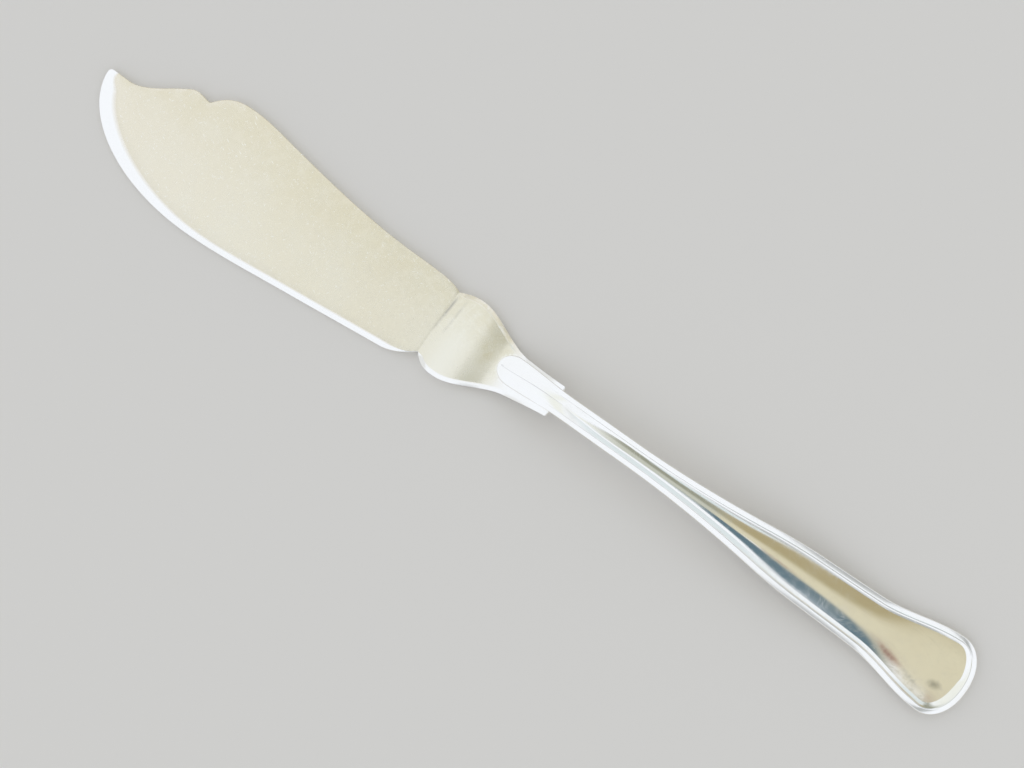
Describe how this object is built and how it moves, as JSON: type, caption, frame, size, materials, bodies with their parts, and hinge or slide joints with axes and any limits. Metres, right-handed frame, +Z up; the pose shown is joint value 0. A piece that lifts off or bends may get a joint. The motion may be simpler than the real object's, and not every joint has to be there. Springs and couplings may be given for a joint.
{
  "type": "fish knife",
  "caption": "Polished fish knife: broad blade with a notched back and a ground edge, short rounded neck, and a slim arched handle with thread borders that flares to a round butt.",
  "frame": {"origin": "underside of the blade's heel, level with the notches, on the handle's centre line", "axes": "+X along the knife towards the butt, +Y towards the notched back, +Z up from the table, with the bevelled face up"},
  "size_m": [0.1999, 0.0265, 0.0074],
  "materials": {
    "silver": "polished silver with fine handling scratches and a slightly soft sheen on the blade"
  },
  "bodies": {
    "root": {"knife": "silver"}
  },
  "joints": []
}
